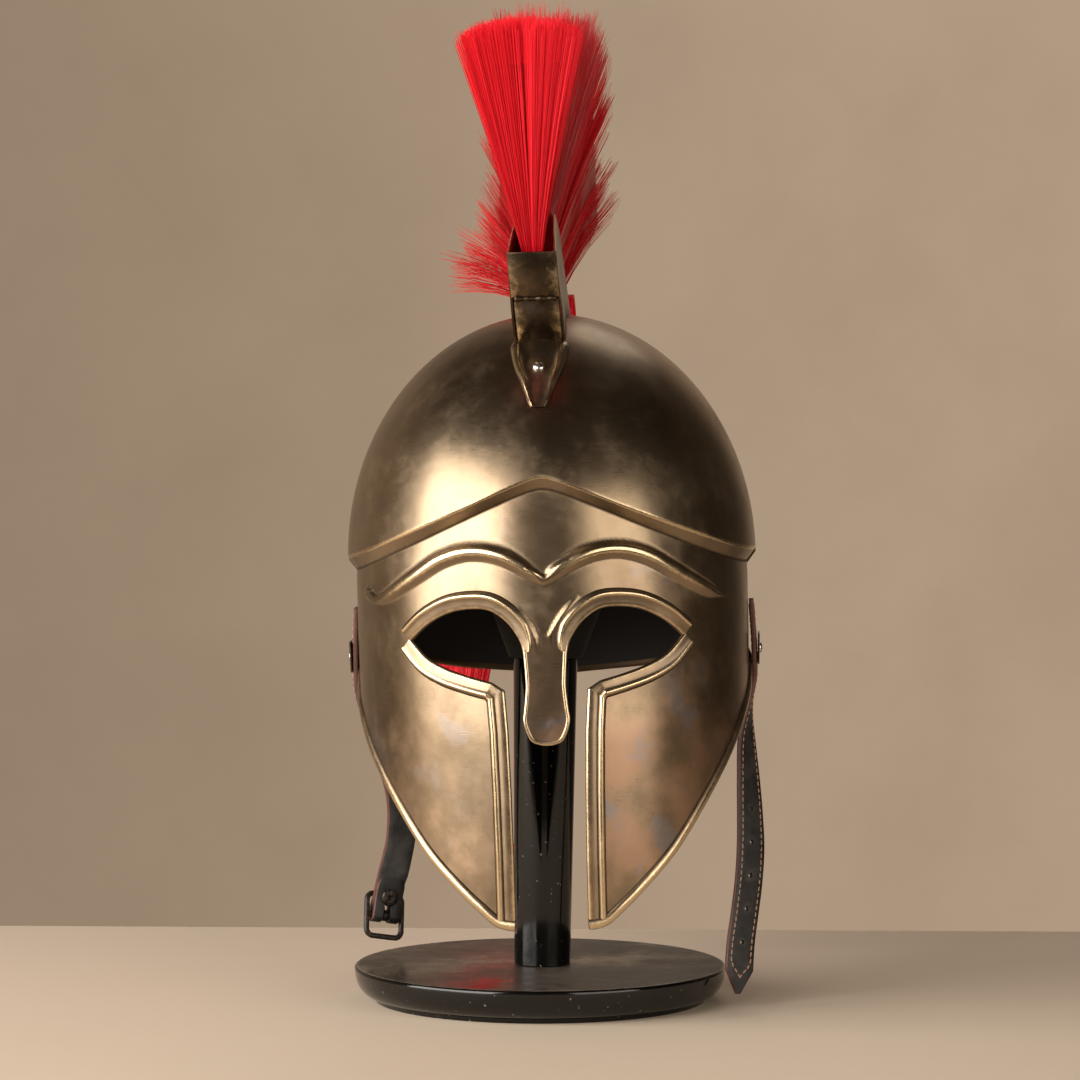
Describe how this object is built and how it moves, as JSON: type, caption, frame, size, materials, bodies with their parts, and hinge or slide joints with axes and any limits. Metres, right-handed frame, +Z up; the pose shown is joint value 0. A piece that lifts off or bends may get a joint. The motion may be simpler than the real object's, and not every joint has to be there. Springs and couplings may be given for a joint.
{
  "type": "bronze helmet on a stand",
  "caption": "Ancient Greek bronze helmet with raised brows, nose guard and cheek pieces, a red hair crest and buckled chin straps, on a plain turned stand.",
  "frame": {"origin": "centre of the underside of the stand's base", "axes": "+Z up the stand, -Y the way the helmet faces, +X towards the viewer's right seen from the front"},
  "size_m": [0.2288, 0.3515, 0.536],
  "materials": {
    "bronze": "brushed, dark and worn with bright edges",
    "dark_bronze": "darkened, satin",
    "silver_rivet": "satin",
    "black_metal": "black with brown wear",
    "black_leather": "grained, with tan stitches",
    "red_hair": "glossy dyed hair",
    "black_wood": "black gloss paint, dusty and worn"
  },
  "bodies": {
    "root": {"helmet_shell": "bronze", "crest_holder": "dark_bronze", "rivet_front": "silver_rivet", "rivet_back": "silver_rivet", "plume": "red_hair", "plume_tail": "red_hair", "strap_right": "black_leather", "strap_left": "black_leather", "strap_plate_right": "dark_bronze", "strap_plate_left": "dark_bronze", "strap_rivet_right": "dark_bronze", "strap_rivet_left": "dark_bronze", "fold_rivet": "black_metal", "stand_base": "black_wood", "stand_post": "black_wood", "head_block": "black_wood"},
    "buckle": {"buckle_frame": "black_metal"},
    "tongue": {"buckle_tongue": "black_metal"}
  },
  "joints": [
    {"name": "buckle_swing", "type": "hinge", "parent": "root", "child": "buckle", "pos_m": [-0.08807, 0.03318, 0.04036], "axis": [-0.8606, -0.4771, 0.1778], "range_deg": [0, 100]},
    {"name": "tongue_swing", "type": "hinge", "parent": "buckle", "child": "tongue", "pos_m": [-0.08807, 0.03318, 0.04036], "axis": [-0.8606, -0.4771, 0.1778], "range_deg": [0, 155]}
  ]
}
